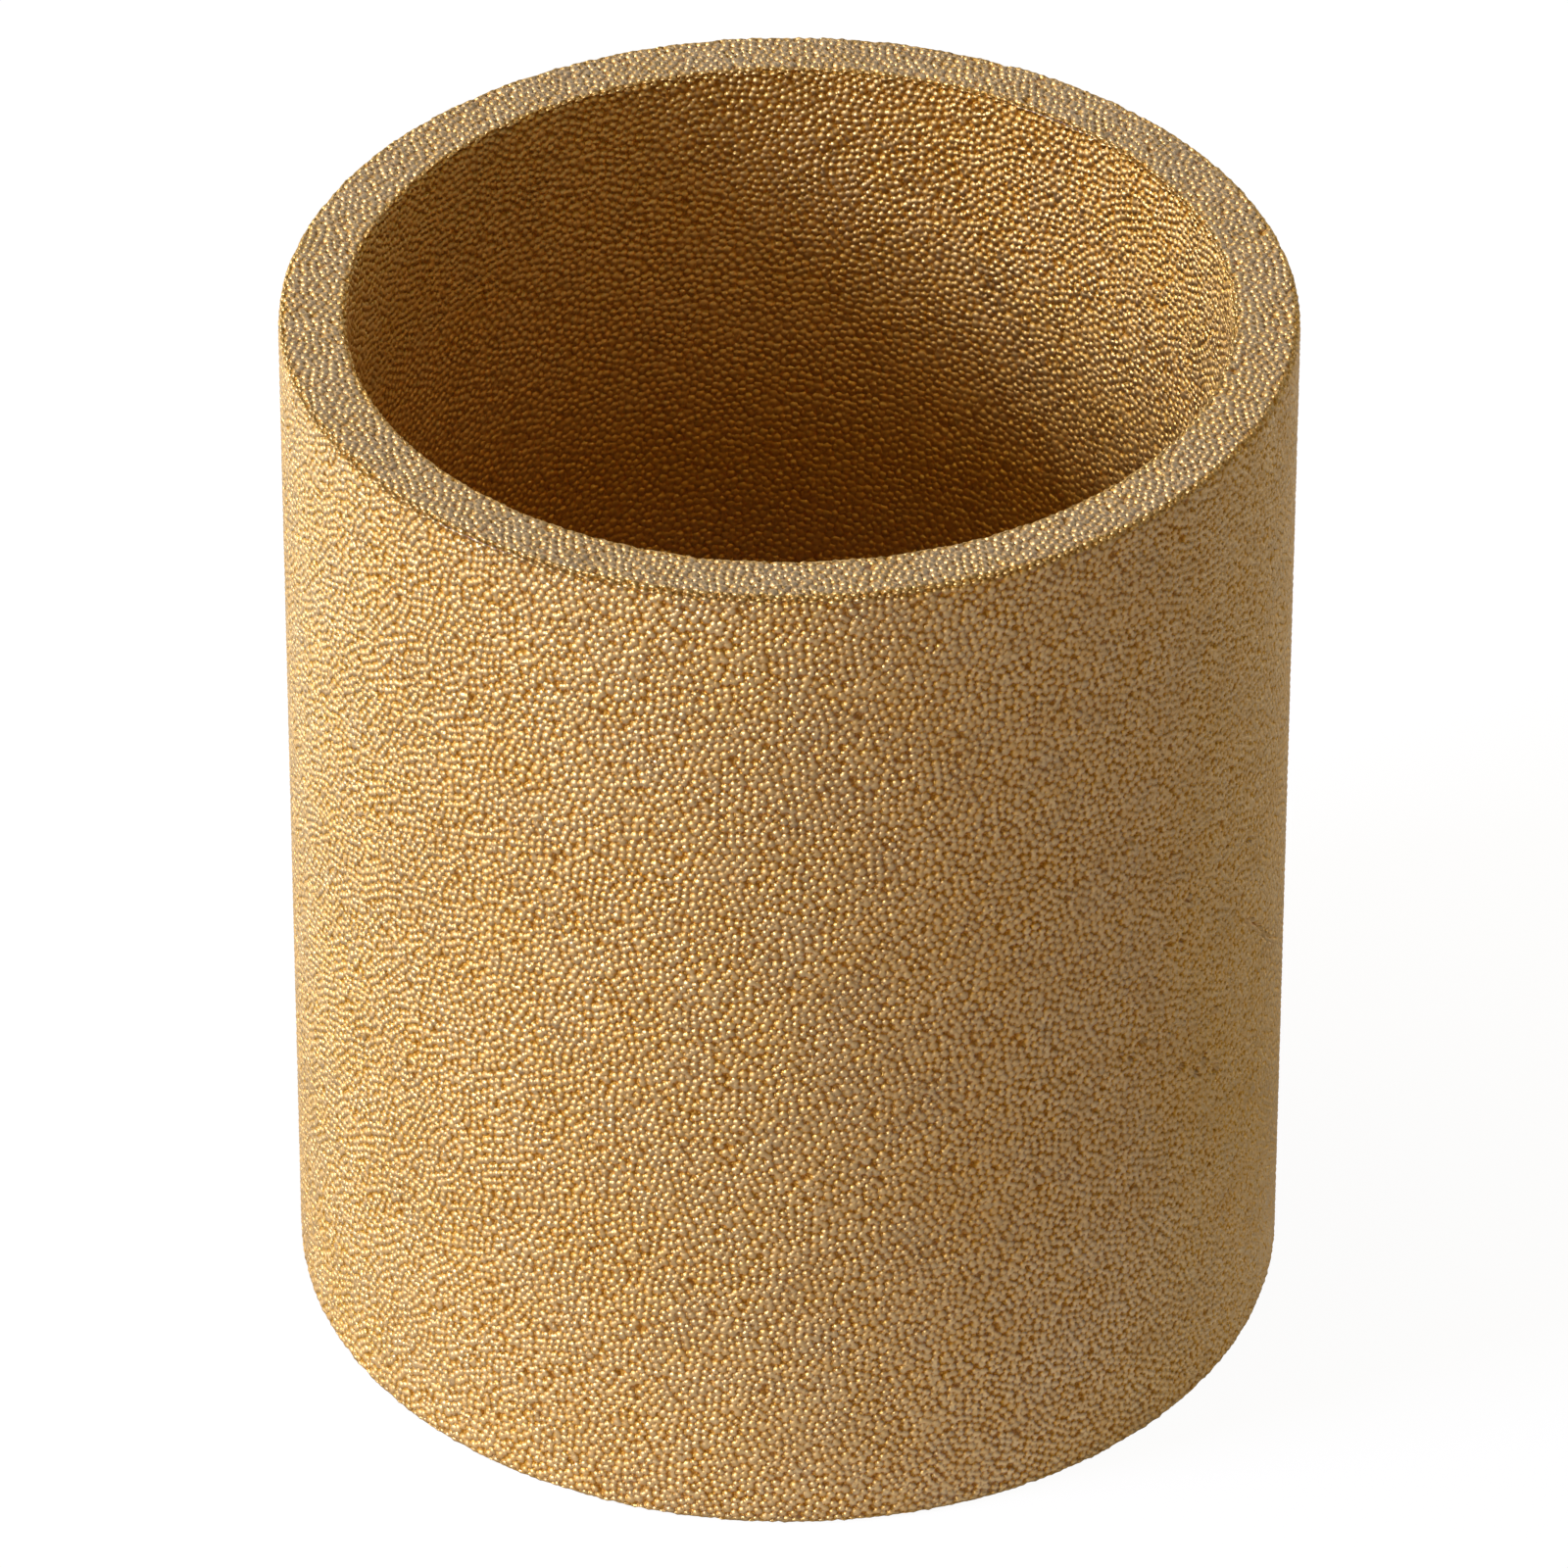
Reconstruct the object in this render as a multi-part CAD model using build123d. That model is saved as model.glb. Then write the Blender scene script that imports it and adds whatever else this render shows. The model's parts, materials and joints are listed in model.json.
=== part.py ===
from build123d import *
import os

# Air filter element: a plain tube of bronze balls sintered together in a mould.
# It is one piece, open at both ends, and stands on its lower end.
# Units are millimetres. The axis is +Z and the origin is the centre of the lower end.

# Driving dimensions. The grade of the balls sets the wall, and the bore follows from it.
outer_diameter = 40.0
wall_thickness = 2.7
length = 45.0

# The mould leaves a small round on each edge, about as large as one ball
outer_edge_radius = 0.30
bore_edge_radius = 0.25


def wall_section():
    """Section of the wall in the XZ plane, with its four corners rounded."""
    mid_wall_radius = (outer_diameter - wall_thickness) / 2
    with BuildSketch(Plane.XZ) as section:
        with Locations((mid_wall_radius, length / 2)):
            Rectangle(wall_thickness, length)
        bore_corners = section.vertices().group_by(Axis.X)[0]
        fillet(bore_corners, bore_edge_radius)
        outer_corners = section.vertices().group_by(Axis.X)[-1]
        fillet(outer_corners, outer_edge_radius)
    return section.sketch


def filter_tube():
    """The whole element: its wall section turned about the axis."""
    with BuildPart() as tube:
        add(wall_section())
        revolve(axis=Axis.Z)
    return tube.part


def main():
    """Write the element's one solid."""
    os.makedirs("parts", exist_ok=True)
    export_step(filter_tube(), "parts/filter_tube.step")


main()
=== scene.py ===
"""Looks of a sintered bronze filter element: a skin of small fused balls round a plain tube."""
import json
import logging
import math
from dataclasses import dataclass, field
from enum import Enum
from typing import Any

import bpy
import numpy as np
from mathutils import Matrix, Vector
from mathutils.geometry import delaunay_2d_cdt


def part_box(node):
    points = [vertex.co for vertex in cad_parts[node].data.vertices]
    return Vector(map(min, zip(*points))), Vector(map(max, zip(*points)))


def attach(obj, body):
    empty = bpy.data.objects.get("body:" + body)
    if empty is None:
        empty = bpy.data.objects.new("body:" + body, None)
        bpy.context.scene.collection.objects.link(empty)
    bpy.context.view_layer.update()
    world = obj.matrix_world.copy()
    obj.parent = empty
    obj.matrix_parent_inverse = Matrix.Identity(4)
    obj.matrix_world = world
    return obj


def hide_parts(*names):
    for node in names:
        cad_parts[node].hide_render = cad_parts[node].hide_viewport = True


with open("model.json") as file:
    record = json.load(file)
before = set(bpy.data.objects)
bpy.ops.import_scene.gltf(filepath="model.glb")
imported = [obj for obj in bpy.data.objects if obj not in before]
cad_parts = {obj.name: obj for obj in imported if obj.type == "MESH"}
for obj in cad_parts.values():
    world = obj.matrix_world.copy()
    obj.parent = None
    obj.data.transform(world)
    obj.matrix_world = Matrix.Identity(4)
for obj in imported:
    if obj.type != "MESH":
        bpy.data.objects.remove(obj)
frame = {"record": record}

log = logging.getLogger("filter_element")

NODE = "filter_tube"
BODY = "root"
MM = 0.001
FULL_TURN = 2 * math.pi
PHOTO_SIDE = 1600

Array = np.ndarray
Colour = tuple[float, float, float, float]
WHITE: Colour = (1.0, 1.0, 1.0, 1.0)


def shortest(step: Array, around: float | Array) -> Array:
    """Take steps on a closed walk the short way round."""
    return step - around * np.round(step / around)


def stretch(place: Array, around: float, count: int) -> Array:
    """Number the equal stretches of a closed walk that places lie in."""
    return np.floor(np.mod(place, around) / around * count).astype(int) % count


def add_object(name: str, data: bpy.types.ID) -> bpy.types.Object:
    """Add an object to the scene.

    Args:
        name: The object's name.
        data: Its mesh, camera or light.

    Returns:
        The object.
    """
    made = bpy.data.objects.new(name, data)
    bpy.context.scene.collection.objects.link(made)
    return made


class Region(Enum):
    """The four stretches of skin that meet at the rounded edges, wall and rim by turns."""

    OUTER_WALL = "outer_wall"
    UPPER_RIM = "upper_rim"
    BORE_WALL = "bore_wall"
    LOWER_RIM = "lower_rim"


@dataclass(frozen=True)
class TubeSkin:
    """The tube's closed section, walked once round: up the outer wall, over the upper rim,
    down the bore and back under the lower rim. A place on the skin is an angle about the
    axis, from the viewer's side towards the right, and a distance along that walk.
    """

    outer_radius: float
    bore_radius: float
    length: float
    outer_edge: float = 0.30 * MM
    bore_edge: float = 0.25 * MM

    @classmethod
    def from_frame(cls) -> "TubeSkin":
        """Read the tube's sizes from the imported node's box and from its bore mount.

        Returns:
            The skin at the frame's own size.
        """
        low, high = (Vector(corner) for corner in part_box(NODE))
        bore = next(m for m in frame["record"]["mounts"] if m["name"] == "bore")
        return cls((high.x - low.x) / 2, bore["dims"]["r_mm"] * MM, high.z - low.z)

    def corners(self) -> list[tuple[float, float, float]]:
        """Give the centre's radius, centre's height and size of each rounded edge, in order."""
        outer, bore = self.outer_edge, self.bore_edge
        return [
            (self.outer_radius - outer, self.length - outer, outer),
            (self.bore_radius + bore, self.length - bore, bore),
            (self.bore_radius + bore, bore, bore),
            (self.outer_radius - outer, outer, outer),
        ]

    def runs(self) -> list[float]:
        """Measure the stretches of the walk.

        Returns:
            The eight lengths: each straight stretch, then the edge after it.
        """
        wide = self.outer_radius - self.bore_radius - self.outer_edge - self.bore_edge
        straight = [self.length - 2 * self.outer_edge, wide, self.length - 2 * self.bore_edge, wide]
        both = []
        for run, (_, _, size) in zip(straight, self.corners()):
            both += [run, size * math.pi / 2]
        return both

    def around(self) -> float:
        """Give the length of the whole walk."""
        return sum(self.runs())

    def section(self, along: Array) -> tuple[Array, Array, Array]:
        """Find places on the section.

        Args:
            along: Distances along the walk.

        Returns:
            Each place's radius, height and the angle of its outward normal.
        """
        runs = np.array(self.runs())
        starts = np.concatenate([[0.0], np.cumsum(runs)])[:-1]
        walked = np.mod(along, runs.sum())
        step = np.clip(np.searchsorted(starts, walked, side="right") - 1, 0, len(runs) - 1)
        past = walked - starts[step]
        side, on_edge = step // 2, step % 2 == 1
        centres = np.array(self.corners())
        size = centres[side, 2]
        turn = side * math.pi / 2 + np.where(on_edge, past / size, 0.0)
        radius = centres[side, 0] + size * np.cos(turn)
        height = centres[side, 1] + size * np.sin(turn)
        back = np.where(on_edge, 0.0, runs[step] - past)
        return radius + back * np.sin(turn), height - back * np.cos(turn), turn

    def place(self, angle: Array, along: Array, depth: Array) -> Array:
        """Find points at or under the skin.

        Args:
            angle: Angles about the axis.
            along: Distances along the walk.
            depth: Distances under the skin.

        Returns:
            One row of coordinates for each place.
        """
        radius, height, turn = self.section(along)
        radius = radius - depth * np.cos(turn)
        height = height - depth * np.sin(turn)
        return np.stack([radius * np.sin(angle), -radius * np.cos(angle), height], axis=-1)

    def normal(self, angle: Array, along: Array) -> Array:
        """Find the skin's own normals.

        Args:
            angle: Angles about the axis.
            along: Distances along the walk.

        Returns:
            One row for each place's outward normal.
        """
        _, _, turn = self.section(along)
        flat = np.cos(turn)
        return np.stack([flat * np.sin(angle), -flat * np.cos(angle), np.sin(turn)], axis=-1)

    def regions(self, along: Array) -> Array:
        """Sort places into regions; each rim takes the rounded edges beside it.

        Args:
            along: Distances along the walk.

        Returns:
            Each place's region as an index into the members of Region.
        """
        ends = np.cumsum(self.runs())[[0, 3, 4]]
        return np.searchsorted(ends, np.mod(along, self.around()), side="right")

    def on_rim(self, along: Array) -> Array:
        """Tell which places are on a rim or on the rounded edges beside it."""
        return self.regions(along) % 2 == 1

    def from_edges(self, along: Array) -> Array:
        """Measure how far places lie from the middle of the nearest rounded edge.

        Args:
            along: Distances along the walk.

        Returns:
            Each place's distance.
        """
        ends = np.cumsum(self.runs())
        middle = (ends[0::2] + ends[1::2]) / 2
        away = np.mod(along, self.around())[:, None] - middle
        return np.abs(shortest(away, self.around())).min(axis=1)


@dataclass
class BallPacking:
    """Where the balls lie against the mould: touching, near six neighbours each, in small
    ordered patches with gaps between them.
    """

    skin: TubeSkin
    pitch: float = 0.365 * MM
    contact: float = 0.350 * MM
    size_spread: float = 0.09
    most_spreads: float = 2.2
    first_swell: float = 1.22
    shake: float = 0.44
    last_swell: float = 1.08
    look_ahead: float = 0.1
    seed: int = 11
    rng: np.random.Generator = field(init=False)
    angle: Array = field(init=False)
    along: Array = field(init=False)
    radius: Array = field(init=False)

    def pack(self) -> None:
        """Pour the balls, let them spread evenly, shake them and let them settle in contact."""
        self.rng = np.random.default_rng(self.seed)
        self._pour()
        count = len(self.angle)
        size = np.clip(self.rng.standard_normal(count), -self.most_spreads, self.most_spreads)
        self.radius = self.contact / 2 * (1 + self.size_spread * size)
        self._settle(rounds=7, steps=4, swell=self.first_swell * self.pitch / self.contact, push=0.45)
        self._shake()
        self._settle(rounds=5, steps=6, swell=self.last_swell, push=0.7)

    def _pour(self) -> None:
        """Scatter the measured number of balls, row by row, at random places in their cells."""
        row_step = self.pitch * math.sqrt(math.sqrt(3) / 2)
        rows = round(self.skin.around() / row_step)
        row_step = self.skin.around() / rows
        angles, alongs = [], []
        for row in range(rows):
            middle = (row + 0.5) * row_step
            radius = float(self.skin.section(np.array([middle]))[0][0])
            count = round(FULL_TURN * radius * row_step / (self.pitch**2 * math.sqrt(3) / 2))
            angles.append((np.arange(count) + self.rng.random(count)) * FULL_TURN / count)
            alongs.append((row + self.rng.random(count)) * row_step)
        self.angle = np.concatenate(angles)
        self.along = np.concatenate(alongs)

    def _shake(self) -> None:
        """Move each ball a little at random."""
        step = self.shake * self.pitch * self.rng.standard_normal((2, len(self.angle)))
        self.angle += step[0] / self._ring
        self.along += step[1]

    def _near(self, reach: float) -> tuple[Array, Array]:
        """List each pair of balls closer than a reach, once.

        Args:
            reach: The largest distance between the two.

        Returns:
            The first and the second ball of each pair.
        """
        columns = int(FULL_TURN * self.skin.bore_radius / reach)
        rows = int(self.skin.around() / reach)
        column = stretch(self.angle, FULL_TURN, columns)
        row = stretch(self.along, self.skin.around(), rows)
        cell = row * columns + column
        order = np.argsort(cell, kind="stable")
        counts = np.bincount(cell, minlength=rows * columns)
        starts = np.cumsum(counts) - counts
        pairs = []
        for down, across in ((0, 0), (0, 1), (1, -1), (1, 0), (1, 1)):
            other = (row + down) % rows * columns + (column + across) % columns
            found = counts[other]
            first = np.repeat(np.arange(len(cell)), found)
            nth = np.arange(len(first)) - np.repeat(np.cumsum(found) - found, found)
            second = order[starts[other][first] + nth]
            if (down, across) == (0, 0):
                first, second = first[first < second], second[first < second]
            pairs.append(np.stack([first, second]))
        first, second = np.concatenate(pairs, axis=1)
        across, along = self._between(first, second)
        close = across**2 + along**2 < reach**2
        return first[close], second[close]

    def _between(self, first: Array, second: Array) -> tuple[Array, Array]:
        """Measure from ball to ball over the skin.

        Args:
            first: The balls to measure from.
            second: The balls to measure to.

        Returns:
            The ways across and along.
        """
        mean = (self._ring[first] + self._ring[second]) / 2
        turn = shortest(self.angle[second] - self.angle[first], FULL_TURN)
        return turn * mean, shortest(self.along[second] - self.along[first], self.skin.around())

    @property
    def _ring(self) -> Array:
        """The distance of each ball from the tube's axis."""
        return self.skin.section(self.along)[0]

    def _settle(self, rounds: int, steps: int, swell: float, push: float) -> None:
        """Push balls apart where they overlap.

        Args:
            rounds: How often neighbours are looked up again.
            steps: How many pushes each round has.
            swell: How much larger than its size each ball acts.
            push: The share of an overlap that one push removes.
        """
        count = len(self.angle)
        widest = 2 * swell * float(self.radius.max()) + self.look_ahead * self.pitch
        for _ in range(rounds):
            first, second = self._near(widest)
            apart = swell * (self.radius[first] + self.radius[second])
            for _ in range(steps):
                across, along = self._between(first, second)
                distance = np.hypot(across, along) + 1e-9
                move = push / 2 * np.maximum(apart - distance, 0) / distance
                across, along = across * move, along * move
                shift = np.bincount(second, across, count) - np.bincount(first, across, count)
                self.angle += shift / self._ring
                self.along += np.bincount(second, along, count) - np.bincount(first, along, count)
        self.angle = np.mod(self.angle, FULL_TURN)
        self.along = np.mod(self.along, self.skin.around())


@dataclass(frozen=True)
class Crack:
    """A fine split in the outer wall, as angle in degrees and height in mm along its line."""

    points: tuple[tuple[float, float], ...]
    depth: float


@dataclass(frozen=True)
class Pit:
    """A spot in the outer wall where a ball or two are missing, by angle in degrees and height in mm."""

    angle: float
    height: float
    radius: float = 0.16 * MM


@dataclass
class BallRelief:
    """The skin as one closed mesh: a peak on each ball, a pore where three balls meet and,
    where the relief is fine, a neck where two balls are fused. Depths are in ball radii and
    the seam's margin is in pitches. Each of the patches is the share of chance that a ball has
    alone, and how often neighbours even out the rest.
    """

    packing: BallPacking
    fine_bore_depth: float = 7.5 * MM
    neck_depth: float = 0.17
    gap_depth: float = 1.0
    widest_gap: float = 0.35
    # painted shade in the gaps between balls: where it starts, how fast it rises and its most
    painted_gap_shade_from: float = 1.12
    painted_gap_shade_rise: float = 4.0
    darkest_painted_gap_shade: float = 0.75
    pore_depth: float = 0.60
    wide_pore_depth: float = 0.8
    widest_pore: float = 0.45
    # painted shade at the pores: the least, its rise with the pore's width and a random part
    painted_pore_shade: float = 0.15
    painted_pore_shade_rise: float = 2.4
    painted_pore_shade_chance: float = 0.3
    pore_inset: float = 0.18
    coarse_share: float = 0.65
    seam_margin: float = 8.0
    pit_depth: float = 1.9
    pit_reach: float = 1.5
    sink_patches: tuple[float, int] = (0.5, 3)
    wall_sink: float = 0.12
    wall_sink_power: int = 4
    rim_sink: float = 0.42
    rim_sink_power: float = 1.5
    edge_sink: float = 0.14
    lean: float = 0.14
    rim_lean: float = 0.18
    tint_patches: tuple[float, int] = (0.6, 12)
    gloss_patches: tuple[float, int] = (0.7, 4)
    rim_gloss: float = 0.1
    dull_patches: tuple[float, int] = (0.5, 8)
    wall_dullness: float = 0.40
    rim_dullness: tuple[float, float] = (0.30, 0.45)
    rim_fusion: float = 0.3
    rim_roundness: float = 0.9
    bore_roundness: tuple[float, float] = (0.90, 0.45)
    calm_depth: float = 18.0 * MM
    edge_band: float = 0.5 * MM
    edge_relief: float = 0.85
    edge_reach: tuple[float, float] = (0.17 * MM, 0.30 * MM)
    cracks: tuple[Crack, ...] = ()
    pits: tuple[Pit, ...] = ()
    rng: np.random.Generator = field(init=False)
    joined: Array = field(init=False)
    points: Array = field(init=False)
    triangles: Array = field(init=False)
    owners: Array = field(init=False)
    others: Array = field(init=False)
    fusion: Array = field(init=False)
    sinks: Array = field(init=False)
    # each place's share of painted shade, which the material reads as pore
    pores: Array = field(init=False)
    places: Array = field(init=False)
    tint: Array = field(init=False)
    dull: Array = field(init=False)
    gloss: Array = field(init=False)
    leans: Array = field(init=False)

    @property
    def skin(self) -> TubeSkin:
        """The skin that the balls lie against."""
        return self.packing.skin

    def build(self) -> None:
        """Join the balls into triangles and set every corner's place and depth."""
        packing = self.packing
        count = len(packing.angle)
        corners, flat = self._join()
        middles, reach = self._pore_places(flat)
        self.joined, sides, halves = self._edges(corners, flat)
        self.rng = np.random.default_rng(packing.seed + 1)
        self._draw_shades()
        between = halves.mean(axis=1)
        fine = self._is_fine(between[:, 1])
        neck_index = np.full(len(self.joined), -1)
        neck_index[fine] = count + len(middles) + np.arange(int(fine.sum()))
        ball = float(packing.radius.mean())
        spread = np.linalg.norm(halves[:, 1] - halves[:, 0], axis=1) / (2 * ball)
        neck_depth = self.neck_depth + self.gap_depth * np.clip(spread - 1, 0, self.widest_gap)
        # painted shade in gaps wider than the balls' contact
        neck_painted_shade = np.clip((spread - self.painted_gap_shade_from) * self.painted_gap_shade_rise, 0, self.darkest_painted_gap_shade)
        wide = np.clip(reach / (ball * 2 / math.sqrt(3)) - 1, 0, self.widest_pore)
        pore_depth = self.pore_depth + self.wide_pore_depth * wide
        pore_depth *= np.where(self._is_fine(middles[:, 1]), 1.0, self.coarse_share)
        # painted shade at each pore, more where the pore is wide
        pore_painted_shade = self.painted_pore_shade + self.painted_pore_shade_rise * wide
        pore_painted_shade = np.clip(pore_painted_shade + self.painted_pore_shade_chance * self.rng.random(len(wide)), 0, 1)
        self.sinks = sink = self._sinks()
        pore_depth += sink[corners].mean(axis=1)
        neck_depth += sink[self.joined].mean(axis=1)
        balls = np.stack([packing.angle, packing.along], axis=1)
        self.places = np.concatenate([balls, self._unflat(middles), self._unflat(between[fine])])
        self.pores = np.concatenate([np.zeros(count), pore_painted_shade, neck_painted_shade[fine]])
        depth = ball * np.concatenate([sink, pore_depth, neck_depth[fine]])
        self._split(sides, halves, neck_index, depth)
        self._hollow(depth, ball)
        from_edges = self.skin.from_edges(self.places[count:, 1])
        depth[count:] *= np.interp(from_edges, [0, self.edge_band], [self.edge_relief, 1])
        self.points = self.skin.place(self.places[:, 0], self.places[:, 1], depth)
        self._weave(sides + count, neck_index)

    def _patchy(self, alone: Array, patches: tuple[float, int]) -> Array:
        """Draw a chance for each ball that it shares in part with its neighbours.

        Args:
            alone: Each ball's own chance.
            patches: The own chance's share, and how often neighbours even out the rest.

        Returns:
            One value for each ball, from 0 to 1.
        """
        own_share, rounds = patches
        count = len(alone)
        value = self.rng.random(count)
        near = np.bincount(self.joined.ravel(), minlength=count)
        first, second = self.joined.T
        for _ in range(rounds):
            total = np.bincount(first, value[second], count)
            total += np.bincount(second, value[first], count)
            value = (value + total / near) / 2
        even = np.argsort(np.argsort(value)) / (count - 1)
        return own_share * alone + (1 - own_share) * even

    def _draw_shades(self) -> None:
        """Give each ball its own shade, dullness and lean, partly shared in patches."""
        rng, count = self.rng, len(self.packing.angle)
        on_rim = self.skin.on_rim(self.packing.along)
        self.tint = self._patchy(rng.random(count), self.tint_patches)
        self.gloss = self._patchy(rng.random(count), self.gloss_patches)
        self.gloss *= np.where(on_rim, self.rim_gloss, 1.0)
        chance = self._patchy(rng.random(count), self.dull_patches)
        least, spread = self.rim_dullness
        self.dull = np.where(on_rim, least + spread * chance, self.wall_dullness * chance**2)
        lean = np.where(on_rim, self.rim_lean, self.lean)
        self.leans = lean[:, None] * rng.standard_normal((count, 2))

    def _sinks(self) -> Array:
        """Set how far each ball's top lies under the mould's face, more so on the rims.

        Returns:
            Each ball's depth in ball radii.
        """
        along = self.packing.along
        chance = self.rng.random(len(along))
        rough = self._patchy(chance, self.sink_patches)
        on_rim = self.rim_sink * rough**self.rim_sink_power
        on_wall = self.wall_sink * chance**self.wall_sink_power
        sink = np.where(self.skin.on_rim(along), on_rim, on_wall)
        near_edge = 1 - np.clip(self.skin.from_edges(along) / self.packing.pitch, 0, 1)
        return sink + self.edge_sink * near_edge * self.rng.random(len(along)) ** 2

    def _flat(self, angle: Array, along: Array) -> Array:
        """Lay places out in a plane that keeps lengths near enough to true."""
        return np.stack([angle * (self.skin.outer_radius + self.skin.bore_radius) / 2, along], axis=1)

    def _unflat(self, flat: Array) -> Array:
        """Turn places in the plane back into angles and distances along the walk."""
        both_radii = self.skin.outer_radius + self.skin.bore_radius
        return np.stack([flat[:, 0] * 2 / both_radii, flat[:, 1]], axis=1)

    def _join(self) -> tuple[Array, Array]:
        """Join each ball to its neighbours, with copies past the seams so that none shows.

        Returns:
            The three balls of each triangle, and their places in the plane.
        """
        packing = self.packing
        home = self._flat(packing.angle, packing.along)
        size = self._flat(np.array([FULL_TURN]), np.array([self.skin.around()]))[0]
        margin = self.seam_margin * packing.pitch
        places, names = [home], [np.arange(len(home))]
        for shift in ((right, up) for right in (-1, 0, 1) for up in (-1, 0, 1) if right or up):
            moved = home + np.array(shift) * size
            near = np.all((moved > -margin) & (moved < size + margin), axis=1)
            places.append(moved[near])
            names.append(np.flatnonzero(near))
        flat, name = np.concatenate(places), np.concatenate(names)
        scaled = flat / packing.pitch
        found = delaunay_2d_cdt([Vector(p) for p in scaled.tolist()], [], [], 0, 1e-6, True)
        origin = np.array([ids[0] for ids in found[3]])
        corners = origin[np.array(found[2])]
        where = flat[corners]
        centre = where.mean(axis=1)
        inside = np.all((centre >= 0) & (centre < size), axis=1)
        corners, where = corners[inside], where[inside]
        a, b = where[:, 1] - where[:, 0], where[:, 2] - where[:, 0]
        turned = a[:, 0] * b[:, 1] - a[:, 1] * b[:, 0] < 0
        corners[turned] = corners[turned][:, ::-1]
        where[turned] = where[turned][:, ::-1]
        log.info("joined %d balls with %d triangles", len(home), len(corners))
        if len(corners) != 2 * len(home):
            raise RuntimeError("the joined skin isn't closed")
        return name[corners], where

    def _pore_places(self, flat: Array) -> tuple[Array, Array]:
        """Place a pore at equal distance from its three balls, kept well inside the triangle.

        Args:
            flat: The places of each triangle's three balls in the plane.

        Returns:
            Each pore's place in the plane and its distance from the balls.
        """
        facing = np.sum((np.roll(flat, -1, axis=1) - np.roll(flat, 1, axis=1)) ** 2, axis=2)
        weights = facing * (facing.sum(axis=1, keepdims=True) - 2 * facing)
        weights /= weights.sum(axis=1, keepdims=True)
        lowest = weights.min(axis=1)
        pull = np.clip((self.pore_inset - lowest) / (1 / 3 - lowest), 0, 1)[:, None]
        weights = weights * (1 - pull) + pull / 3
        middle = np.einsum("ti,tij->tj", weights, flat)
        reach = np.linalg.norm(flat - middle[:, None], axis=2).mean(axis=1)
        return middle, reach

    @staticmethod
    def _edges(corners: Array, flat: Array) -> tuple[Array, Array, Array]:
        """List each joined pair of balls once, with the triangles on its two sides.

        Args:
            corners: The three balls of each triangle.
            flat: Their places in the plane.

        Returns:
            The pairs, the triangle to the left and right of each, and the pair's two places.
        """
        start = corners.ravel()
        end = np.roll(corners, -1, axis=1).ravel()
        where = np.stack([flat, np.roll(flat, -1, axis=1)], axis=2).reshape(-1, 2, 2)
        triangle = np.repeat(np.arange(len(corners)), 3)
        key = np.minimum(start, end).astype(np.int64) * (corners.max() + 1) + np.maximum(start, end)
        order = np.argsort(key, kind="stable")
        left, right = order[0::2], order[1::2]
        if not np.array_equal(key[left], key[right]):
            raise RuntimeError("an edge of the skin has other than two sides")
        pairs = np.stack([start[left], end[left]], axis=1)
        return pairs, np.stack([triangle[left], triangle[right]], axis=1), where[left]

    def _is_fine(self, along: Array) -> Array:
        """Choose the places with fine relief: all but those deep in the bore.

        Args:
            along: Distances along the walk.

        Returns:
            True for each place whose pairs get a neck.
        """
        bore_start, bore_end = np.cumsum(self.skin.runs())[3:5]
        walked = np.mod(along, self.skin.around())
        return (walked < bore_start + self.fine_bore_depth) | (walked > bore_end)

    def edge_share(self, points: Array) -> Array:
        """Tell how far points belong to a rounded edge, from 0 on the flat to 1 on the edge."""
        away = self.skin.from_edges(self.places[points, 1])
        return np.interp(away, self.edge_reach, (1.0, 0.0))

    def _split(self, sides: Array, halves: Array, neck_index: Array, depth: Array) -> None:
        """Open the necks and pores along each crack, and mark them for full painted shade.

        Args:
            sides: The triangles beside each pair.
            halves: Each pair's two places in the plane.
            neck_index: Each pair's neck, or -1.
            depth: Every place's depth, changed here.
        """
        count = len(self.packing.angle)
        for crack in self.cracks:
            line = np.array(crack.points)
            line = self._flat(np.radians(line[:, 0]), line[:, 1] * MM - self.skin.outer_edge)
            for start, end in zip(line[:-1], line[1:]):
                cut = self._crosses(halves, start, end)
                for found in (neck_index[cut], count + sides[cut].ravel()):
                    depth[found] = np.maximum(depth[found], crack.depth)
                    # full painted shade along the crack
                    self.pores[found] = 1.0

    def _hollow(self, depth: Array, ball: float) -> None:
        """Deepen the places in each pit and mark them for painted shade.

        Args:
            depth: Every place's depth, changed here.
            ball: The mean radius of a ball.
        """
        for pit in self.pits:
            turn = shortest(self.places[:, 0] - math.radians(pit.angle), FULL_TURN)
            up = self.places[:, 1] - (pit.height * MM - self.skin.outer_edge)
            away = np.hypot(turn * self.skin.outer_radius, up)
            near = np.clip(self.pit_reach - away / pit.radius, 0, 1)
            depth += near * np.maximum(self.pit_depth * ball - depth, 0)
            # painted shade in the pit
            self.pores = np.maximum(self.pores, near)

    @staticmethod
    def _crosses(halves: Array, start: Array, end: Array) -> Array:
        """Tell which pairs' lines cross a stretch in the plane.

        Args:
            halves: Each pair's two places.
            start: Where the stretch starts.
            end: Where it ends.

        Returns:
            True for each pair that it crosses.
        """

        def side(a: Array, b: Array, p: Array) -> Array:
            """Tell on which side of the line from a to b each p lies, by sign."""
            (ax, ay), (bx, by), (px, py) = a.T, b.T, p.T
            return (bx - ax) * (py - ay) - (by - ay) * (px - ax)

        first, second = halves[:, 0], halves[:, 1]
        parted = side(start, end, first) * side(start, end, second) < 0
        return parted & (side(first, second, start) * side(first, second, end) < 0)

    def _weave(self, sides: Array, neck_index: Array) -> None:
        """Make the triangles: four round each neck, two over each pair without one.

        Args:
            sides: The pores beside each pair, left then right.
            neck_index: Each pair's neck, or -1.
        """
        fine = neck_index >= 0
        triangles, balls, pairs = [], [], []
        for chosen, shapes in ((fine, ("ANL", "BLN", "BNR", "ARN")), (~fine, ("ARL", "BLR"))):
            pair = np.flatnonzero(chosen)
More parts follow.
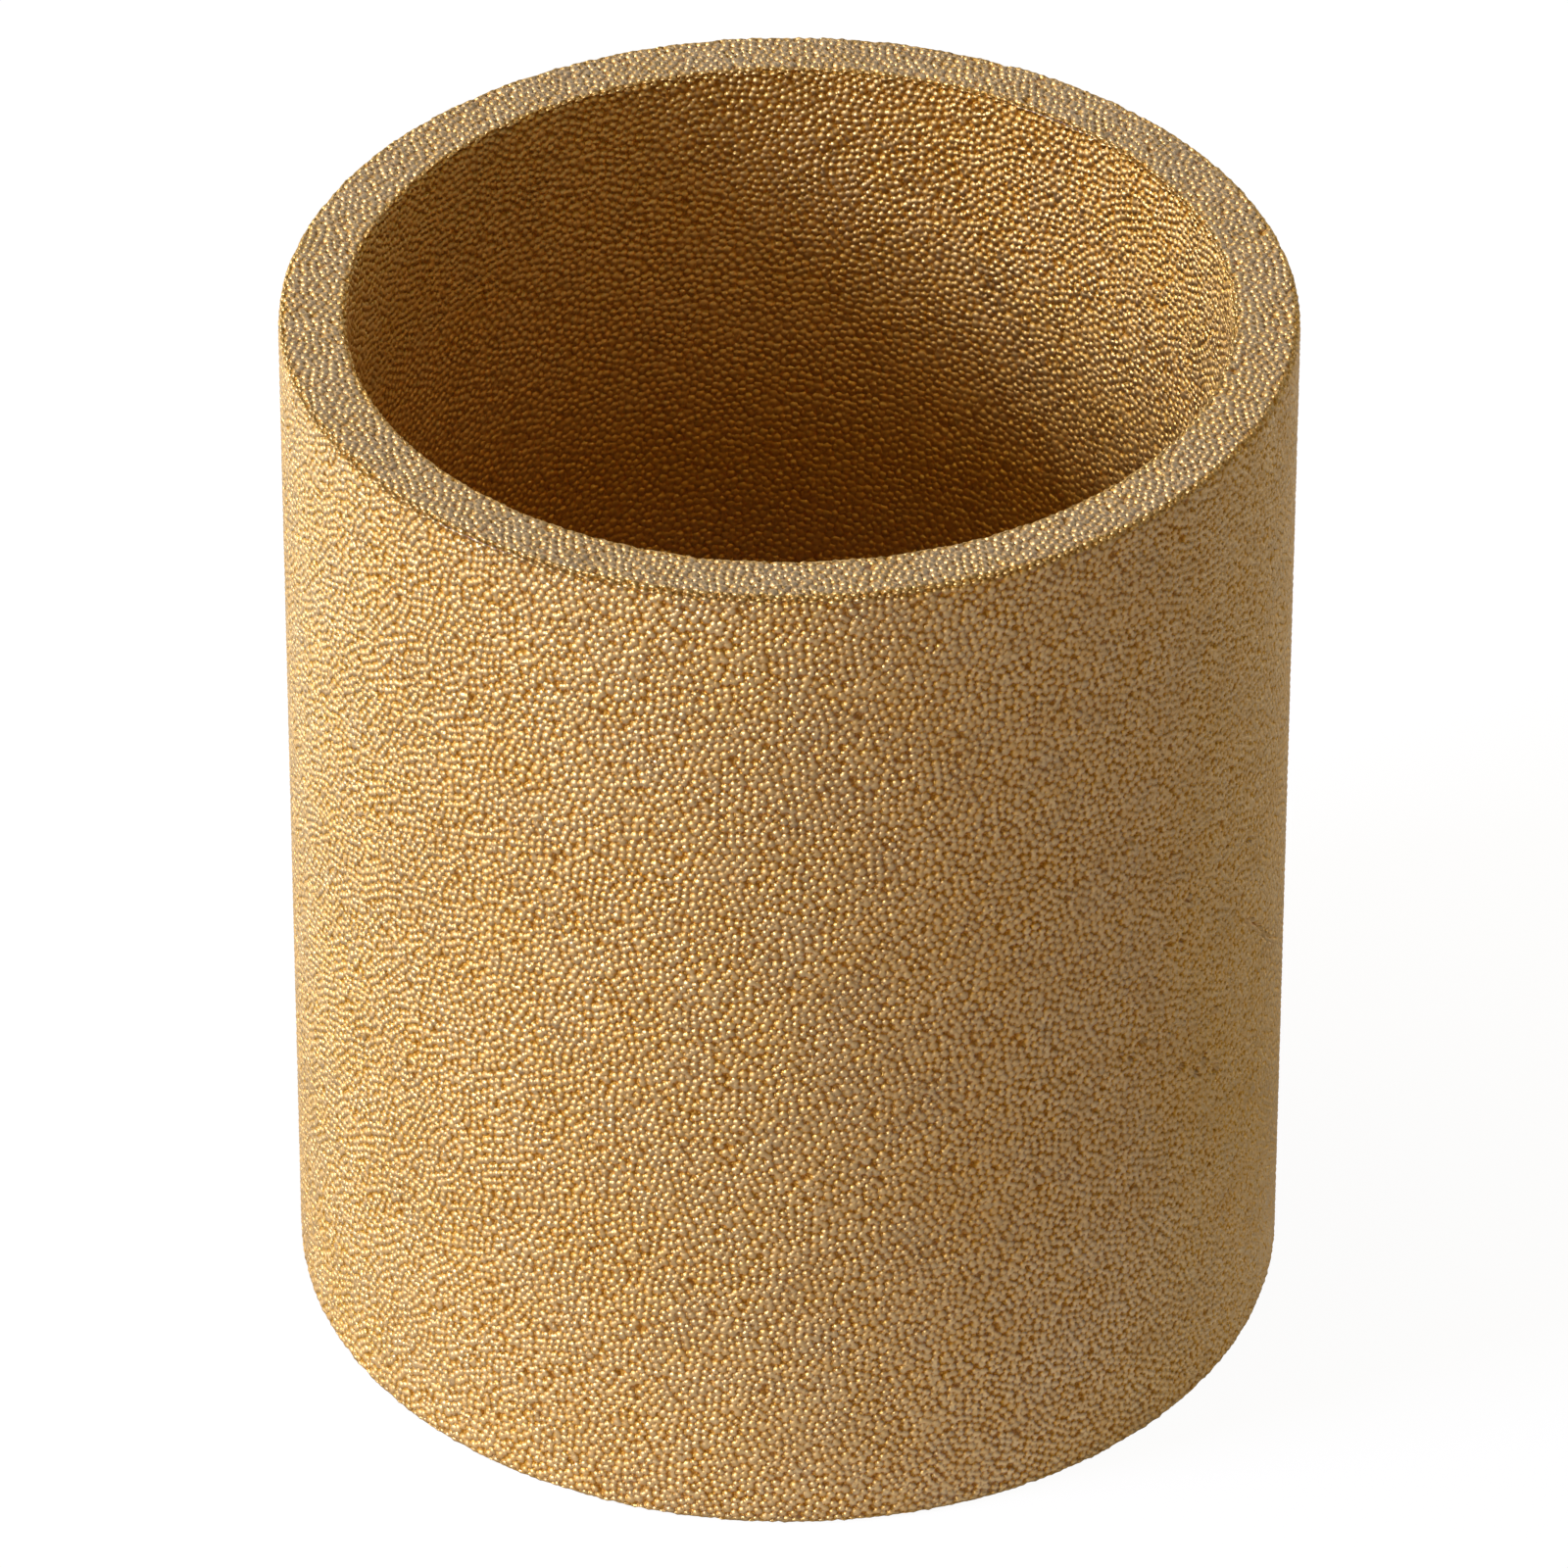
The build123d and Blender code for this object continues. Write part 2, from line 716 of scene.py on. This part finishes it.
            # the pair's balls A and B, the pores at its left and right, and its neck
            spots = dict(zip("ABLRN", (*self.joined[pair].T, *sides[pair].T, neck_index[pair])))
            for shape in shapes:
                own, other = "AB" if shape[0] == "A" else "BA"
                triangles.append(np.stack([spots[letter] for letter in shape], axis=1))
                balls.append(np.stack([spots[own], spots[other]], axis=1))
                pairs.append(pair)
        self.triangles = np.concatenate(triangles)
        self.owners, self.others = np.concatenate(balls).T
        chance = np.random.default_rng(self.packing.seed + 2).random(len(neck_index))
        on_rim = self.skin.on_rim(self.packing.along[self.owners])
        self.fusion = chance[np.concatenate(pairs)] * np.where(on_rim, self.rim_fusion, 1.0)

    def steps(self, chosen: Array, balls: Array) -> Array:
        """Find the angle and the distance along from balls to the corners of triangles."""
        away = self.places[self.triangles[chosen]] - self.places[balls][:, None]
        return shortest(away, np.array([FULL_TURN, self.skin.around()]))

    def from_ball(self, chosen: Array, balls: Array) -> Array:
        """Measure from balls to the corners of triangles, in ball radii, each ball leaning a little.

        Args:
            chosen: The triangles.
            balls: One ball for each of them.

        Returns:
            For each corner the way across and along the skin, and how deep its ball is sunk.
        """
        away = self.steps(chosen, balls)
        away[..., 0] *= self.skin.section(self.places[balls, 1])[0][:, None]
        away = away / self.packing.radius[balls][:, None, None] + self.leans[balls][:, None]
        sunk = np.broadcast_to(self.sinks[balls][:, None, None], (*away.shape[:2], 1))
        return np.concatenate([away, sunk], axis=2)

    def roundness(self, points: Array) -> Array:
        """Tell how much of the balls' roundness shows: less on the rims and down the bore.

        Args:
            points: The points' numbers.

        Returns:
            Each point's share.
        """
        ends = np.cumsum(self.skin.runs())
        walked = np.mod(self.places[points, 1], self.skin.around())
        inside = np.minimum(walked - ends[3], ends[4] - walked)
        share = np.interp(inside, [self.edge_band, self.calm_depth], self.bore_roundness)
        from_outer = np.minimum(walked, np.abs(walked - ends[0]))
        on_rim = ((walked > ends[1]) & (walked < ends[3])) | (walked > ends[5])
        share = np.where(inside > self.edge_band, share, 1.0)
        return np.where(on_rim & (from_outer > self.edge_band), self.rim_roundness, share)


@dataclass(frozen=True)
class Signal:
    """A shader socket that takes part in expressions as a number does."""

    graph: "ShaderGraph"
    socket: bpy.types.NodeSocket

    def _maths(self, operation: str, *values: Any) -> "Signal":
        """Add a Math node for one operation on two or three values."""
        made = self.graph.node("ShaderNodeMath", dict(enumerate(values)), operation=operation)
        return Signal(self.graph, made.outputs[0])

    def __add__(self, other: Any) -> "Signal":
        """Add."""
        return self._maths("ADD", self, other)

    __radd__ = __add__

    def __sub__(self, other: Any) -> "Signal":
        """Subtract."""
        return self._maths("SUBTRACT", self, other)

    def __rsub__(self, other: Any) -> "Signal":
        """Subtract from."""
        return self._maths("SUBTRACT", other, self)

    def __mul__(self, other: Any) -> "Signal":
        """Multiply."""
        return self._maths("MULTIPLY", self, other)

    def above(self, other: Any) -> "Signal":
        """Take the larger of two values."""
        return self._maths("MAXIMUM", self, other)

    def softly_above(self, other: Any, width: Any) -> "Signal":
        """Take the larger of two values, rounded off where they meet."""
        return self._maths("SMOOTH_MAX", self, other, width)

    def ramp(self, low: float, high: float) -> "Signal":
        """Rise smoothly from 0 to 1 between two values.

        Args:
            low: Where the rise starts.
            high: Where it ends.

        Returns:
            The share, from 0 to 1.
        """
        inputs = {"Value": self, "From Min": low, "From Max": high}
        made = self.graph.node("ShaderNodeMapRange", inputs, interpolation_type="SMOOTHSTEP")
        return Signal(self.graph, made.outputs["Result"])


Input = Signal | bpy.types.NodeSocket | float | tuple[float, ...]


class ShaderGraph:
    """A material's or world's node tree, filled from Python expressions."""

    def __init__(self, owner: bpy.types.Material | bpy.types.World) -> None:
        """Take the tree of a material or world and empty it.

        Args:
            owner: The material or world.
        """
        owner.use_nodes = True
        self.tree = owner.node_tree
        self.tree.nodes.clear()

    def node(self, kind: str, inputs: dict[Any, Input] | None = None, **settings: Any) -> bpy.types.Node:
        """Add a node.

        Args:
            kind: The node's type.
            inputs: Values or links for its sockets, by name or number.
            **settings: Its own settings, set before its sockets.

        Returns:
            The new node.
        """
        made = self.tree.nodes.new(kind)
        for name, value in settings.items():
            setattr(made, name, value)
        for name, value in (inputs or {}).items():
            value = value.socket if isinstance(value, Signal) else value
            if isinstance(value, bpy.types.NodeSocket):
                self.tree.links.new(value, made.inputs[name])
            else:
                made.inputs[name].default_value = value
        return made

    def number(self, name: str) -> Signal:
        """Read a number that the mesh carries."""
        made = self.node("ShaderNodeAttribute", attribute_name=name)
        return Signal(self, made.outputs["Fac"])

    def numbers(self, name: str) -> list[Signal]:
        """Read the three numbers of a vector that the mesh carries."""
        made = self.node("ShaderNodeAttribute", attribute_name=name)
        return self._parts(made.outputs["Vector"])

    def spot(self, output: str) -> list[Signal]:
        """Read the coordinates of the place or direction that is shaded."""
        return self._parts(self.node("ShaderNodeTexCoord").outputs[output])

    def _parts(self, vector: bpy.types.NodeSocket) -> list[Signal]:
        """Split a vector into its three numbers."""
        made = self.node("ShaderNodeSeparateXYZ", {0: vector})
        return [Signal(self, part) for part in made.outputs]

    def blend(self, share: Input, first: Input, second: Input) -> bpy.types.NodeSocket:
        """Mix two colours.

        Args:
            share: How much of the second colour there is.
            first: The colour at 0.
            second: The colour at 1.

        Returns:
            The mixed colour's socket.
        """
        made = self.node("ShaderNodeMix", {0: share, 6: first, 7: second}, data_type="RGBA")
        return made.outputs[2]


@dataclass(frozen=True)
class SinteredBronze:
    """Satin bronze balls, each of its own tone, with painted shade in the gaps and pores between them and
    deep down the bore.
    """

    pale: Colour = (0.92, 0.63, 0.25, 1.0)
    deep: Colour = (0.86, 0.54, 0.15, 1.0)
    # a darker, greyer bronze, blended in by each ball's dullness, which is highest on the rims
    dull_colour: Colour = (0.58, 0.385, 0.155, 1.0)
    # painted shade: the dark brown mixed in where grooves, holes, cracks, pits and the deep bore are shaded
    pore: Colour = (0.70, 0.38, 0.045, 1.0)
    smoothest: float = 0.38
    roughest: float = 0.62
    bore_rough: float = 0.10
    edge_tint: Colour = (1.0, 0.94, 0.88, 1.0)
    coats: tuple[float, float] = (1.0, 0.55)
    coat_roughness: float = 0.15
    coat_ior: float = 1.85
    edge_bareness: float = 0.92
    ball_radius: float = 0.175 * MM
    neck_widths: tuple[float, float] = (0.4, 2.4)
    steepness: float = 0.28
    # painted shade: depth ranges and shares for grooves and holes, the share deep in the bore, and the pore
    # marks that open it
    groove_shade_depths: tuple[float, float] = (0.22, 0.85)
    groove_shade_share: float = 0.9
    bore_shade_share: float = 3.0
    hole_shade_depths: tuple[float, float] = (1.1, 2.2)
    hole_shade_share: float = 0.9
    hole_rough: float = 0.3
    marked_pore_shade: tuple[float, float] = (0.6, 1.0)

    def material(self) -> bpy.types.Material:
        """Build the finish.

        Returns:
            The finished material.
        """
        made = bpy.data.materials.new("sintered_bronze_balls")
        graph = ShaderGraph(made)
        tint, gloss, pore, fusion = (graph.number(n) for n in ("ball_tint", "ball_gloss", "pore", "fusion"))
        thick, thin = self.coats
        least, most = self.neck_widths
        neck = least + fusion * (most - least)
        height = self._ball(graph, "own_ball").softly_above(self._ball(graph, "next_ball"), neck)
        open_air, dull = graph.number("roundness"), graph.number("ball_dull")
        shut = 1 - open_air
        far_in = shut * shut
        colour = graph.blend(tint, self.pale, self.deep)
        colour = graph.blend(dull, colour, self.dull_colour)
        # painted shade: grooves between the balls, holes, marked pores and the deep bore are mixed towards
        # the pore colour
        groove_shade = (0 - height).ramp(*self.groove_shade_depths) * (1 - dull)
        hole_shade = (0 - height).ramp(*self.hole_shade_depths).above(pore.ramp(*self.marked_pore_shade))
        painted_shade = (groove_shade * self.groove_shade_share).above(hole_shade * self.hole_shade_share).above(far_in * self.bore_shade_share)
        colour = graph.blend(painted_shade, colour, self.pore)
        rough = self.smoothest + gloss * (self.roughest - self.smoothest)
        rough = rough + hole_shade * self.hole_rough + shut * self.bore_rough
        coat = (1 - groove_shade) * (1 - far_in) * (thick + gloss * (thin - thick))
        coat = coat * (1 - graph.number("edge") * self.edge_bareness)
        relief = height * open_air
        bump = graph.node("ShaderNodeBump", {"Distance": self.ball_radius, "Height": relief})
        inputs = {
            "Base Color": colour,
            "Metallic": 1.0,
            "Roughness": rough,
            "Specular Tint": self.edge_tint,
            "Coat Weight": coat,
            "Coat Roughness": self.coat_roughness,
            "Coat IOR": self.coat_ior,
            "Normal": bump.outputs["Normal"],
        }
        shader = graph.node("ShaderNodeBsdfPrincipled", inputs)
        graph.node("ShaderNodeOutputMaterial", {"Surface": shader.outputs[0]})
        return made

    def _ball(self, graph: ShaderGraph, name: str) -> Signal:
        """Shape a ball's top from the way to its middle, in ball radii: it falls by half the
        square of the way, as a sphere does, and more steeply further out.

        Args:
            graph: The material's graph.
            name: The numbers that hold the way to the ball.

        Returns:
            The height, 0 at the top of a ball that isn't sunk.
        """
        across, along, sunk = graph.numbers(name)
        square = across * across + along * along
        return 0 - square * (square * self.steepness + 0.5) - sunk


@dataclass(frozen=True)
class Patch:
    """One piece's part of the skin: its triangles, its middle's angle and how many go round."""

    name: str
    chosen: Array
    middle: float
    sectors: int


@dataclass
class FilterElement:
    """The whole element: its skin in pieces that each stay light enough to handle."""

    skin: TubeSkin
    finish: SinteredBronze
    outer_sectors: tuple[str, ...] = ("front", "right", "back", "left")
    bore_sectors: tuple[str, ...] = ("front", "back")
    rim_rows: int = 6
    row_gap: float = 3.0
    map_border: float = 0.004

    def build(self) -> None:
        """Pack the balls, raise the relief and cut it into pieces along the pores."""
        packing = BallPacking(self.skin)
        packing.pack()
        log.info("packed %d balls", len(packing.angle))
        relief = BallRelief(packing, cracks=CRACKS, pits=PITS)
        relief.build()
        material = self.finish.material()
        for patch in self._patches(relief):
            piece = add_object(patch.name, self._mesh(relief, patch))
            piece.data.materials.append(material)
            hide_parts(NODE)
            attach(piece, BODY)
            log.info("%s has %d triangles", patch.name, len(patch.chosen))

    def _patches(self, relief: BallRelief) -> list[Patch]:
        """Share the triangles out by region and sector, each with the ball it is part of.

        Args:
            relief: The whole skin.

        Returns:
            The share of each piece.
        """
        packing = relief.packing
        region = self.skin.regions(packing.along)
        cuts = {Region.OUTER_WALL: self.outer_sectors, Region.BORE_WALL: self.bore_sectors}
        patches = []
        for index, part in enumerate(Region):
            sides = cuts.get(part, ("",))
            sector = stretch(packing.angle + math.pi / len(sides), FULL_TURN, len(sides))
            for number, side in enumerate(sides):
                mine = (region == index) & (sector == number)
                name = f"{part.value}_{side}" if side else part.value
                chosen = np.flatnonzero(mine[relief.owners])
                patches.append(Patch(name, chosen, number * FULL_TURN / len(sides), len(sides)))
        return patches

    def _mesh(self, relief: BallRelief, patch: Patch) -> bpy.types.Mesh:
        """Make the mesh of one piece, with its normals, its flat map and what the finish reads.

        Args:
            relief: The whole skin.
            patch: The piece's part of it.

        Returns:
            The mesh.
        """
        chosen, owners = patch.chosen, relief.owners[patch.chosen]
        used, corners = np.unique(relief.triangles[chosen], return_inverse=True)
        mesh = bpy.data.meshes.new(patch.name)
        mesh.vertices.add(len(used))
        mesh.vertices.foreach_set("co", relief.points[used].astype(np.float32).ravel())
        mesh.loops.add(corners.size)
        mesh.loops.foreach_set("vertex_index", corners.astype(np.int32).ravel())
        mesh.polygons.add(len(chosen))
        mesh.polygons.foreach_set("loop_start", np.arange(0, corners.size, 3, dtype=np.int32))
        mesh.polygons.foreach_set("use_smooth", np.ones(len(chosen), dtype=bool))
        mesh.update(calc_edges=True)
        flat = self._map(relief, patch).astype(np.float32)
        mesh.uv_layers.new(name="OFBake").uv.foreach_set("vector", flat.ravel())
        carried = {
            # pore: each point's share of painted shade
            "pore": ("POINT", relief.pores[used]),
            "roundness": ("POINT", relief.roundness(used)),
            "edge": ("POINT", relief.edge_share(used)),
            "ball_tint": ("FACE", relief.tint[owners]),
            "ball_gloss": ("FACE", relief.gloss[owners]),
            "ball_dull": ("FACE", relief.dull[owners]),
            "fusion": ("FACE", relief.fusion[chosen]),
            "own_ball": ("CORNER", relief.from_ball(chosen, owners)),
            "next_ball": ("CORNER", relief.from_ball(chosen, relief.others[chosen])),
        }
        for name, (domain, values) in carried.items():
            kind, field_name = ("FLOAT_VECTOR", "vector") if values.ndim > 1 else ("FLOAT", "value")
            layer = mesh.attributes.new(name, kind, domain)
            layer.data.foreach_set(field_name, values.astype(np.float32).ravel())
        place = relief.places[relief.triangles[chosen]]
        normals = self.skin.normal(place[..., 0], place[..., 1])
        mesh.normals_split_custom_set(normals.reshape(-1, 3))
        return mesh

    def _map(self, relief: BallRelief, patch: Patch) -> Array:
        """Lay a piece's triangles out flat in the unit square, rims folded into rows.

        Args:
            relief: The whole skin.
            patch: The piece's part of it.

        Returns:
            Two coordinates for each corner.
        """
        owners = relief.owners[patch.chosen]
        home = relief.places[owners] - np.array([patch.middle, 0])
        if patch.sectors > 1:
            home[:, 0] = shortest(home[:, 0], FULL_TURN)
        else:
            row = np.floor(home[:, 0] / FULL_TURN * self.rim_rows)
            home[:, 0] -= row * FULL_TURN / self.rim_rows
            home[:, 1] += row * (np.ptp(home[:, 1]) + self.row_gap * relief.packing.pitch)
        flat = home[:, None] + relief.steps(patch.chosen, owners)
        low, high = flat.min(axis=(0, 1)), flat.max(axis=(0, 1))
        return self.map_border + (flat - low) / (high - low) * (1 - 2 * self.map_border)


CRACKS = (
    Crack(((64.9, 21.5), (66.7, 21.0), (68.7, 20.4), (71.4, 19.3), (77.5, 17.7)), 0.30 * MM),
)
PITS = (
    Pit(65.8, 25.3), Pit(71.0, 23.3), Pit(50.7, 23.5), Pit(48.2, 23.75), Pit(51.8, 25.3),
    Pit(55.9, 16.6), Pit(58.4, 15.75), Pit(51.4, 17.25), Pit(54.3, 16.4), Pit(57.85, 18.6),
    Pit(44.4, 19.8), Pit(40.9, 19.6), Pit(42.5, 19.3), Pit(41.5, 30.0),
)


@dataclass(frozen=True)
class PhotoCamera:
    """The photograph's camera: far off, a little above, with the tube upright."""

    distance: float = 0.520
    elevation: float = math.radians(35.52)
    focal_pixels: float = 13231.0
    roll: float = 0.0013
    target_height: float = 0.0225
    target_pixel: tuple[float, float] = (804.7, 791.2)
    sensor_mm: float = 36.0
    nearest: float = 0.05

    def place(self) -> None:
        """Add the camera and make it the scene's own."""
        data = bpy.data.cameras.new("photo_camera")
        data.sensor_width = self.sensor_mm
        data.lens = self.focal_pixels / PHOTO_SIDE * self.sensor_mm
        data.clip_start = self.nearest
        camera = add_object("photo_camera", data)
        view = Vector((0, math.cos(self.elevation), -math.sin(self.elevation)))
        right = Vector((1, 0, 0))
        up = right.cross(view)
        scale = self.distance / self.focal_pixels
        left_by, down_by = ((pixel - PHOTO_SIDE / 2) * scale for pixel in self.target_pixel)
        centre = Vector((0, 0, self.target_height))
        aim = centre - right * left_by + up * down_by
        place = centre - view * self.distance
        look = (aim - place).normalized()
        turn = look.to_track_quat("-Z", "Y").to_matrix() @ Matrix.Rotation(self.roll, 3, "Z")
        camera.matrix_world = Matrix.Translation(place) @ turn.to_4x4()
        bpy.context.scene.camera = camera


@dataclass(frozen=True)
class SoftBox:
    """A rectangular studio lamp that faces the element, placed by angles from the viewer's side."""

    name: str
    left: float
    up: float
    distance: float
    side: float
    tall: float
    power: float
    colour: tuple[float, float, float]
    aim_height: float = 0.03

    def place(self) -> None:
        """Add the lamp."""
        data = bpy.data.lights.new(self.name, "AREA")
        data.shape = "RECTANGLE"
        data.size, data.size_y = self.side, self.tall
        data.energy = self.power
        data.color = self.colour
        lamp = add_object(self.name, data)
        turn, rise = math.radians(self.left), math.radians(self.up)
        way = Vector((-math.cos(rise) * math.sin(turn), -math.cos(rise) * math.cos(turn), math.sin(rise)))
        centre = Vector((0, 0, self.aim_height))
        facing = (-way).to_track_quat("-Z", "Y").to_matrix().to_4x4()
        lamp.matrix_world = Matrix.Translation(centre + way * self.distance) @ facing


@dataclass(frozen=True)
class Studio:
    """A pale floor and surround, brighter behind the element, with one soft lamp at the left."""

    floor_side: float = 6.0
    floor_paint: Colour = (0.62, 0.59, 0.55, 1.0)
    floor_share: float = 0.85
    floor_glow: float = 1.12
    ambient: float = 0.17
    ahead: float = 0.34
    ahead_from: tuple[float, float] = (0.1, 0.8)
    backdrop: float = 1.02
    backdrop_from: tuple[float, float] = (0.1, 0.7)
    backdrop_top: tuple[float, float] = (0.50, 0.80)
    floor_behind: tuple[float, float] = (-0.02, 0.03)
    floor_behind_shares: tuple[float, float] = (0.95, 0.38)
    floor_ring: tuple[float, float] = (0.0185, 0.0215)
    floor_middle: tuple[float, float] = (-0.02, 0.02)
    floor_near: tuple[float, float] = (0.021, 0.040)
    floor_near_share: float = 0.42
    overhead: float = 0.21
    overhead_from: tuple[float, float] = (0.4, 0.9)
    side: float = 1.75
    side_from: tuple[float, float] = (0.15, 0.9)
    shade: Colour = (1.0, 0.88, 0.67, 1.0)
    key: SoftBox = SoftBox(
        "key_lamp", 70.0, 24.0, distance=0.80, side=0.24, tall=0.20, power=3.9, colour=(0.81, 1.03, 1.85)
    )

    def build(self) -> None:
        """Add floor, surround and lamp."""
        self._floor()
        self._surround()
        self.key.place()
        bpy.context.scene.view_settings.view_transform = "Standard"

    def _seen(self, graph: ShaderGraph, mirrored_share: Signal) -> Signal:
        """Tell how far a ray sees plain white: always from the camera, and in places from
        the element's metal too.

        Args:
            graph: The graph of the floor or the surround.
            mirrored_share: How much of the white the metal sees at each spot.

        Returns:
            A share from 0 to 1.
        """
        path = graph.node("ShaderNodeLightPath")
        camera = Signal(graph, path.outputs["Is Camera Ray"])
        mirrored = Signal(graph, path.outputs["Is Glossy Ray"])
        through = Signal(graph, path.outputs["Is Transmission Ray"])
        return camera.above((mirrored + through) * mirrored_share)

    def _floor(self) -> None:
        """Lay a large pale floor that shows white but keeps the element's soft shadow."""
        half = self.floor_side / 2
        corners = [(-half, -half, 0), (half, -half, 0), (half, half, 0), (-half, half, 0)]
        mesh = bpy.data.meshes.new("floor")
        mesh.from_pydata(corners, [], [(0, 1, 2, 3)])
        floor = add_object("floor", mesh)
        made = bpy.data.materials.new("pale_floor")
        graph = ShaderGraph(made)
        plain = graph.node("ShaderNodeBsdfDiffuse", {"Color": self.floor_paint})
        glow = graph.node("ShaderNodeEmission", {"Color": WHITE, "Strength": self.floor_glow})
        across, back, _ = graph.spot("Object")
        away = across * across + back * back
        outside = away.ramp(*(r**2 for r in self.floor_ring))
        near = (1 - away.ramp(*(r**2 for r in self.floor_near))) * self.floor_near_share
        left, right = self.floor_behind_shares
        behind = back.ramp(*self.floor_behind) * (left + across.ramp(*self.floor_middle) * (right - left))
        seen = self._seen(graph, behind.above(near) * outside)
        parts = {0: seen * self.floor_share, 1: plain.outputs[0], 2: glow.outputs[0]}
        mixed = graph.node("ShaderNodeMixShader", parts)
        graph.node("ShaderNodeOutputMaterial", {"Surface": mixed.outputs[0]})
        mesh.materials.append(made)

    def _surround(self) -> None:
        """Light the element from all round, with a white surround for the camera."""
        world = bpy.data.worlds.new("surround")
        bpy.context.scene.world = world
        graph = ShaderGraph(world)
        across, back, up = graph.spot("Generated")
        behind = back.ramp(*self.backdrop_from)
        seen = self._seen(graph, behind * (1 - up.ramp(*self.backdrop_top)) * self.backdrop)
        high = up.ramp(*self.overhead_from) * (self.overhead - self.ambient)
        left = (0 - across).ramp(*self.side_from) * (self.side - self.ambient)
        front = (0 - back).ramp(*self.ahead_from) * (self.ahead - self.ambient)
        strength = (high.above(left).above(front) + self.ambient).above(seen)
        tint = graph.blend(seen, self.shade, WHITE)
        glow = graph.node("ShaderNodeBackground", {"Color": tint, "Strength": strength})
        graph.node("ShaderNodeOutputWorld", {"Surface": glow.outputs[0]})


def main() -> None:
    """Build the element, the studio and the camera."""
    logging.basicConfig(level=logging.INFO, format="%(name)s: %(message)s")
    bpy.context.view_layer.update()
    skin = TubeSkin.from_frame()
    FilterElement(skin, SinteredBronze()).build()
    Studio().build()
    PhotoCamera().place()


if __name__ == "__main__":
    main()
